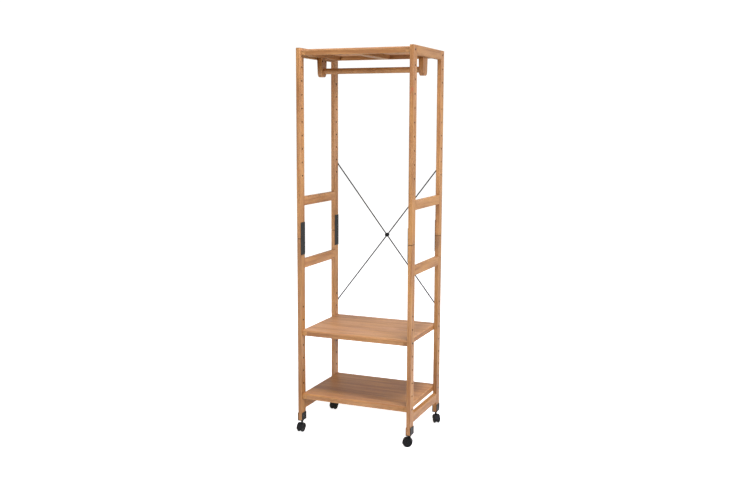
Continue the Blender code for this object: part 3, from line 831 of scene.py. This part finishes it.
def place_fastener(kind, name, point, direction, body="frame"):
    """Set a copy of a bolt or screw on a face. Each is left at its own angle, as driven by hand."""
    global fastener_count
    fastener_count += 1
    piece = bpy.data.objects.new(name, PATTERNS[kind])
    bpy.context.collection.objects.link(piece)
    spin = Matrix.Rotation(fastener_count * TURN_BETWEEN_HEADS, 4, "Z")
    piece.matrix_world = facing(point, direction) @ spin
    return show(piece, body, "black_steel")


def make_shelf_bolts():
    """One bolt through each post into each shelf, with its head on the outer face."""
    for shelf in SHELVES:
        z = (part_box(f"{shelf}_left_batten")[0].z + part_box(f"{shelf}_panel")[1].z) / 2
        for side, way in SIDES.items():
            for end in ENDS:
                low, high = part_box(f"{side}_{end}_lower_post")
                x = high.x if way > 0 else low.x
                point = Vector((x - way * SEATING, (low.y + high.y) / 2, z))
                place_fastener("bolt", f"{shelf}_bolt_{side}_{end}", point, (way, 0, 0))


# ---- steel pieces ------------------------------------------------------------
def make_joint_plate(side, end):
    node = f"{side}_{end}_joint_plate"
    low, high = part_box(node)
    way = -SIDES[side]
    bm = bmesh.new()
    add_bar(bm, low, high, 2, 0.0005, 0.0004)
    plate = new_piece(node + "_finished", bm, STEEL)
    outer = low.x if way < 0 else high.x
    middle = (low + high) / 2
    points = []
    bm = bmesh.new()
    for step in PLATE_SCREW_STEPS:
        for up in (-1, 1):
            points.append(Vector((outer, middle.y, middle.z + up * step)))
            add_turned(bm, [(SHANK_RADIUS + 0.0003, -0.004), (SHANK_RADIUS + 0.0003, -FLAT_HEAD_HEIGHT),
                            (FLAT_HEAD_RADIUS + 0.0002, -0.0002), (FLAT_HEAD_RADIUS + 0.0002, 0.001)],
                       HOLE_SIDES, facing(points[-1], (way, 0, 0)))
    cut_away(plate, bm)
    keep_flats_flat(plate)
    show(plate, "frame", "black_steel", node)
    for number, point in enumerate(points):
        sunk = point - Vector((way * SEATING, 0, 0))
        place_fastener("flat", f"{node}_screw_{number + 1}", sunk, (way, 0, 0))


def make_bracket(corner):
    """The channel round a post's foot, bent from sheet, with a screw in each flange."""
    node = f"{corner}_caster_bracket"
    low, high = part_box(node)
    bend = SHEET_BEND
    inner_bend = bend - SHEET
    middle = (low + high) / 2
    half = (high.x - low.x) / 2
    section = [(half, high.z)]
    inner = [(half - SHEET, high.z)]
    for i in range(7):
        angle = math.radians(-90 * i / 6)
        section.append((half - bend + bend * math.cos(angle), low.z + bend + bend * math.sin(angle)))
        inner.append((half - bend + inner_bend * math.cos(angle),
                      low.z + bend + inner_bend * math.sin(angle)))
    right = section + [(-x, z) for x, z in reversed(section)]
    left = [(-x, z) for x, z in inner] + list(reversed(inner))
    outline = right + left
    bm = bmesh.new()
    stack_rings(bm, [[Vector((middle.x + x, y, z)) for x, z in outline] for y in (low.y, high.y)])
    bracket = new_piece(node + "_finished", bm, STEEL)
    bevel = bracket.modifiers.new("dressed_edges", "BEVEL")
    bevel.width = 0.0004
    bevel.segments = 2
    bevel.angle_limit = math.radians(40)
    apply_modifiers(bracket)
    keep_flats_flat(bracket)
    show(bracket, "frame", "black_steel", node)
    screw_z = low.z + (high.z - low.z) * BRACKET_SCREW_RISE
    for name, way in SIDES.items():
        x = middle.x + way * half
        for number, step in enumerate((-BRACKET_SCREW_STEP, BRACKET_SCREW_STEP)):
            point = Vector((x, middle.y + step * (high.y - low.y), screw_z))
            place_fastener("screw", f"{node}_screw_{name}_{number + 1}", point, (way, 0, 0))


def make_brace_rod(node):
    """A drawn rod that springs past the other one, with flattened, pierced ends."""
    low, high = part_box(node)
    tab, radius = BRACE_TAB, BRACE_RADIUS
    falling = node.endswith("falling")
    post_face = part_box("left_back_upper_post")[1].y + WOOD_GAP
    end_y = post_face + radius
    bow = (radius + WOOD_GAP) * (-1 if falling else 1)
    first_z, last_z = low.z + tab, high.z - tab
    if falling:
        first_z, last_z = last_z, first_z
    start = Vector((low.x + tab, end_y, first_z))
    finish = Vector((high.x - tab, end_y, last_z))
    along = (finish - start).normalized()
    across = along.cross(Vector((0, 1, 0))).normalized()
    rings = []
    steps = 48
    flat = BRACE_FLATTENED / (finish - start).length
    for i in range(steps + 1):
        share = i / steps
        near_end = min(share, 1 - share)
        squeeze = max(0.0, 1 - near_end / flat)
        centre = start.lerp(finish, share)
        centre = centre + Vector((0, bow * math.sin(math.pi * share) ** 2 - squeeze * 0.0008, 0))
        ring = []
        for k in range(16):
            angle = 2 * math.pi * k / 16
            wide = radius * (1 + squeeze * 0.9)
            thick = radius * (1 - squeeze * 0.4)
            ring.append(centre + across * wide * math.cos(angle)
                        + Vector((0, 1, 0)) * thick * math.sin(angle))
        rings.append(ring)
    bm = bmesh.new()
    stack_rings(bm, rings)
    for point in (start, finish):
        face = Vector((point.x, post_face, point.z))
        profile = [(tab - 0.0004, 0), (tab, 0.0004), (tab, BRACE_TAB_THICKNESS - 0.0004),
                   (tab - 0.0004, BRACE_TAB_THICKNESS)]
        add_turned(bm, profile, 32, facing(face, (0, 1, 0)))
    rod = new_piece(node + "_finished", bm, STEEL)
    keep_flats_flat(rod)
    show(rod, "frame", "black_steel", node)
    for name, point in (("left", start), ("right", finish)):
        head = Vector((point.x, post_face + BRACE_TAB_THICKNESS, point.z))
        place_fastener("screw", f"{node}_screw_{name}", head, (0, 1, 0))


def make_brace_clip():
    """The round clip at the crossing: a ribbed disc with a rivet on each side."""
    low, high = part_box("brace_clip")
    middle = (low + high) / 2
    radius = (high.x - low.x) / 2
    length = high.y - low.y
    ease = 0.0012
    profile = [
        (radius * 0.30, 0.0002), (radius * 0.42, 0.0012), (radius * 0.80, 0.0012),
        (radius - ease, 0.0), (radius, ease), (radius, length * 0.42), (radius * 0.94, length * 0.45),
        (radius * 0.94, length * 0.55), (radius, length * 0.58), (radius, length - ease),
        (radius - ease, length), (radius * 0.80, length - 0.0012), (radius * 0.42, length - 0.0012),
        (radius * 0.30, length - 0.0002)]
    bm = bmesh.new()
    add_turned(bm, profile, 48, facing((middle.x, low.y, middle.z), (0, 1, 0)))
    clip = new_piece("brace_clip_finished", bm, PLASTIC)
    keep_flats_flat(clip)
    show(clip, "frame", "black_plastic", "brace_clip")


# ---- casters -----------------------------------------------------------------
def caster_facts(corner):
    """Where a caster swivels, where its axle is and the way its axle lies, from its joints."""
    joints = {joint["name"]: joint for joint in frame["joints"]}
    swivel = Vector(joints[f"{corner}_swivel"]["pos_m"])
    spin = joints[f"{corner}_wheel_a_spin"]
    axle = Vector(spin["pos_m"])
    return swivel, axle, Vector(spin["axis"]).normalized()


def make_caster_body(corner):
    """Web, hood with curled lips, neck, collar and stem, in the caster's own heading."""
    node = f"{corner}_caster_body"
    swivel, axle, sideways = caster_facts(corner)
    low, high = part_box(node)
    wheel_low, wheel_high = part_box(f"{corner}_wheel_a")
    wheel_radius = (wheel_high.z - wheel_low.z) / 2
    trail = Vector((axle.x - swivel.x, axle.y - swivel.y, 0)).normalized()
    up = Vector((0, 0, 1))
    inner = wheel_radius + 0.0008
    outer = inner + HOOD_SHELL
    half_width = HOOD_HALF

    def at(radius, angle, side):
        """A point at a radius and angle round the axle, and a distance along it."""
        turn = math.radians(angle)
        return axle + trail * radius * math.cos(turn) + up * radius * math.sin(turn) + sideways * side

    bm = bmesh.new()
    # hood section, from one lip over the top to the other and back along the inside
    shoulder = HOOD_SHOULDER
    section = []
    for way in (-1, 1):
        corner_points = []
        for i in range(5):
            angle = math.radians(90 * i / 4)
            corner_points.append((outer - shoulder + shoulder * math.sin(angle),
                                  way * (half_width - shoulder + shoulder * math.cos(angle))))
        lip = [(outer - shoulder - HOOD_LIP, way * half_width)]
        run = lip + corner_points
        section += run if way < 0 else list(reversed(run))
    inside = []
    for radius, side in reversed(section):
        scale = (half_width - 0.0011) / half_width
        inside.append((radius - (HOOD_SHELL if radius > outer - shoulder else 0.0), side * scale))
    rings = []
    steps = 40
    for i in range(steps + 1):
        share = i / steps
        angle = HOOD_ARC[0] + HOOD_ARC[1] * share
        rings.append([at(radius, angle, side) for radius, side in section + inside])
    stack_rings(bm, rings)
    # web between the wheels
    web_radius = inner + HOOD_SHELL / 2
    ease = 0.0010
    rings = []
    for side, inset in ((-WEB_HALF, ease), (-WEB_HALF + ease, 0), (WEB_HALF - ease, 0),
                        (WEB_HALF, ease)):
        rings.append([at(web_radius - inset, WEB_ARC[0] + WEB_ARC[1] * i / 36, side)
                      for i in range(37)])
    stack_rings(bm, rings)
    # boss, neck, collar and stem round the swivel axis
    top = high.z
    collar_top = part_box(f"{corner}_caster_bracket")[0].z - 0.0006
    neck = NECK_RADIUS
    profile = [
        (neck, wheel_radius * 1.5), (neck, collar_top - 0.0068), (neck + 0.0006, collar_top - 0.0048),
        (0.0085, collar_top - 0.0040), (0.0085, collar_top - 0.0012), (0.0078, collar_top - 0.0004),
        (0.0050, collar_top), (0.0050, top - 0.001), (0.0042, top)]
    add_turned(bm, profile, 32, Matrix.Translation((swivel.x, swivel.y, 0)))
    # axle
    half_axle = WHEEL_NEAR + WHEEL_WIDTH + 0.0005
    add_turned(bm, [(0.0026, 0), (0.003, 0.0004), (0.003, 2 * half_axle - 0.0004),
                    (0.0026, 2 * half_axle)], 20, facing(axle - sideways * half_axle, sideways))
    body = new_piece(node + "_finished", bm, PLASTIC)
    keep_flats_flat(body)
    show(body, f"{corner}_caster", "black_plastic", node)


def make_wheel(corner, name):
    """A moulded wheel: crowned tread with two fine grooves, dished face and a raised hub."""
    node = f"{corner}_{name}"
    axle, sideways = caster_facts(corner)[1:]
    low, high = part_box(node)
    radius = (high.z - low.z) / 2
    way = 1 if ((low + high) / 2 - axle).dot(sideways) > 0 else -1
    width = WHEEL_WIDTH
    bore = 0.0031
    profile = [
        (bore, 0.0), (radius * 0.55, 0.0), (radius * 0.60, 0.0012), (radius * 0.84, 0.0012),
        (radius * 0.88, 0.0), (radius - 0.0016, 0.0), (radius - 0.0005, 0.0006), (radius, 0.0020),
        (radius, 0.0026), (radius - 0.0004, 0.0029), (radius, 0.0032), (radius, width - 0.0032),
        (radius - 0.0004, width - 0.0029), (radius, width - 0.0026), (radius, width - 0.0020),
        (radius - 0.0006, width - 0.0006), (radius - 0.0018, width), (radius * 0.84, width),
        (radius * 0.80, width - 0.0014), (radius * 0.46, width - 0.0018),
        (radius * 0.42, width - 0.0004), (HUB_RADIUS, width - 0.0001), (HUB_RADIUS - 0.0012, width),
        (bore + 0.0006, width), (bore, width - 0.0005)]
    bm = bmesh.new()
    place = facing(axle + sideways * way * WHEEL_NEAR, sideways * way)
    add_turned(bm, profile, 56, place, closed=True)
    wheel = new_piece(node + "_finished", bm, NYLON)
    keep_flats_flat(wheel)
    show(wheel, node, "black_tyre", node)


# ---- the rack ----------------------------------------------------------------
make_posts()
make_side_rails()
for shelf in SHELVES:
    make_shelf(shelf)
make_rod()
for side in SIDES:
    make_rod_holder(side)
make_shelf_bolts()
for side in SIDES:
    for end in ENDS:
        make_joint_plate(side, end)
        make_bracket(f"{side}_{end}")
        make_caster_body(f"{side}_{end}")
        make_wheel(f"{side}_{end}", "wheel_a")
        make_wheel(f"{side}_{end}", "wheel_b")
for rod in ("brace_rod_falling", "brace_rod_rising"):
    make_brace_rod(rod)
make_brace_clip()


# ---- floor, light and camera -------------------------------------------------
FLOOR_GLOW = 0.90             # as the camera sees it
FLOOR_BOUNCE = 0.30           # as it lights the rack
WORLD_DIFFUSE = 0.20
WORLD_GLOSSY = 0.75
WORLD_SEEN = 1.05
FILL_WARM = (1.0, 0.93, 0.74, 1)
WHITE = (1, 1, 1, 1)
SOFTBOXES = (                 # name, place, what it points at, size, watts, colour
    ("overhead_softbox", (1.0, -1.1, 5.0), (0, -0.05, 0.6), (1.4, 1.4), 205, (1.0, 1.02, 1.14)),
    ("right_softbox", (13.5, -4.0, 4.4), (0, 0, 0.9), (4.2, 3.0), 1230, (0.97, 1.03, 1.38)),
    ("corner_softbox", (7.5, -6.0, 3.2), (0, 0, 0.8), (2.4, 1.8), 80, (1, 1, 1)),
    ("front_light", (-1.0, -10.0, 5.6), (0, 0, 0.7), (2.0, 1.6), 115, (1, 1, 1)),
    ("low_left_fill", (-2.6, -4.4, 0.45), (0, 0, 0.1), (1.6, 0.6), 34, (1, 1, 1)),
)


def make_floor():
    """A white sweep, bright enough to burn out, so that only the contact shadows show."""
    half = 14.0
    bm = bmesh.new()
    bmesh.ops.create_grid(bm, x_segments=2, y_segments=2, size=half)
    material, tree, shader, point = new_material("pale_floor")
    speckle = noise(tree, point, 30.0, 3.0)
    colour = mix_colours(tree, speckle, (0.78, 0.78, 0.775, 1), (0.82, 0.82, 0.82, 1))
    tree.links.new(colour, shader.inputs["Base Color"])
    tree.links.new(between(tree, speckle, 0, 1, 0.75, 0.9), shader.inputs["Roughness"])
    shader.inputs["Specular IOR Level"].default_value = 0.1
    seen = add_node(tree, "ShaderNodeLightPath").outputs["Is Camera Ray"]
    tree.links.new(mix_colours(tree, seen, FILL_WARM, WHITE), shader.inputs["Emission Color"])
    glow = between(tree, seen, 0, 1, FLOOR_BOUNCE, FLOOR_GLOW)
    tree.links.new(glow, shader.inputs["Emission Strength"])
    floor = new_piece("studio_floor", bm, material, smooth=False)
    floor.location.z = cad_box[0].z - 0.0002


def add_softbox(name, place, target, size, power, colour):
    light = bpy.data.lights.new(name, "AREA")
    light.shape = "RECTANGLE"
    light.size, light.size_y = size
    light.energy = power
    light.color = colour
    lamp = bpy.data.objects.new(name, light)
    bpy.context.collection.objects.link(lamp)
    lamp.location = place
    lamp.rotation_euler = (Vector(target) - Vector(place)).to_track_quat("-Z", "Y").to_euler()
    return lamp


def make_studio():
    world = bpy.data.worlds.new("studio")
    bpy.context.scene.world = world
    world.use_nodes = True
    tree = world.node_tree
    background = tree.nodes["Background"]
    ray = add_node(tree, "ShaderNodeLightPath").outputs
    direct = math_node(tree, "MAXIMUM", ray["Is Glossy Ray"], ray["Is Camera Ray"])
    tree.links.new(mix_colours(tree, direct, FILL_WARM, WHITE), background.inputs["Color"])
    mirrored = between(tree, ray["Is Glossy Ray"], 0, 1, WORLD_DIFFUSE, WORLD_GLOSSY)
    seen = math_node(tree, "MULTIPLY", ray["Is Camera Ray"], WORLD_SEEN)
    tree.links.new(math_node(tree, "MAXIMUM", mirrored, seen), background.inputs["Strength"])
    for softbox in SOFTBOXES:
        add_softbox(*softbox)


def make_camera():
    """Eye level, about four and a half metres away, to the right of the front."""
    data = bpy.data.cameras.new("camera")
    data.lens = 44.38
    data.sensor_width = 36.0
    camera = bpy.data.objects.new("camera", data)
    bpy.context.collection.objects.link(camera)
    heading, tilt, roll = math.radians(22.536), math.radians(-7.824), math.radians(0.226)
    turn = (Matrix.Rotation(heading, 4, "Z") @ Matrix.Rotation(math.pi / 2 + tilt, 4, "X")
            @ Matrix.Rotation(roll, 4, "Z"))
    camera.matrix_world = Matrix.Translation((1.7061, -4.1202, 1.5327)) @ turn
    bpy.context.scene.camera = camera


make_floor()
make_studio()
make_camera()
bpy.context.scene.view_settings.view_transform = "Standard"
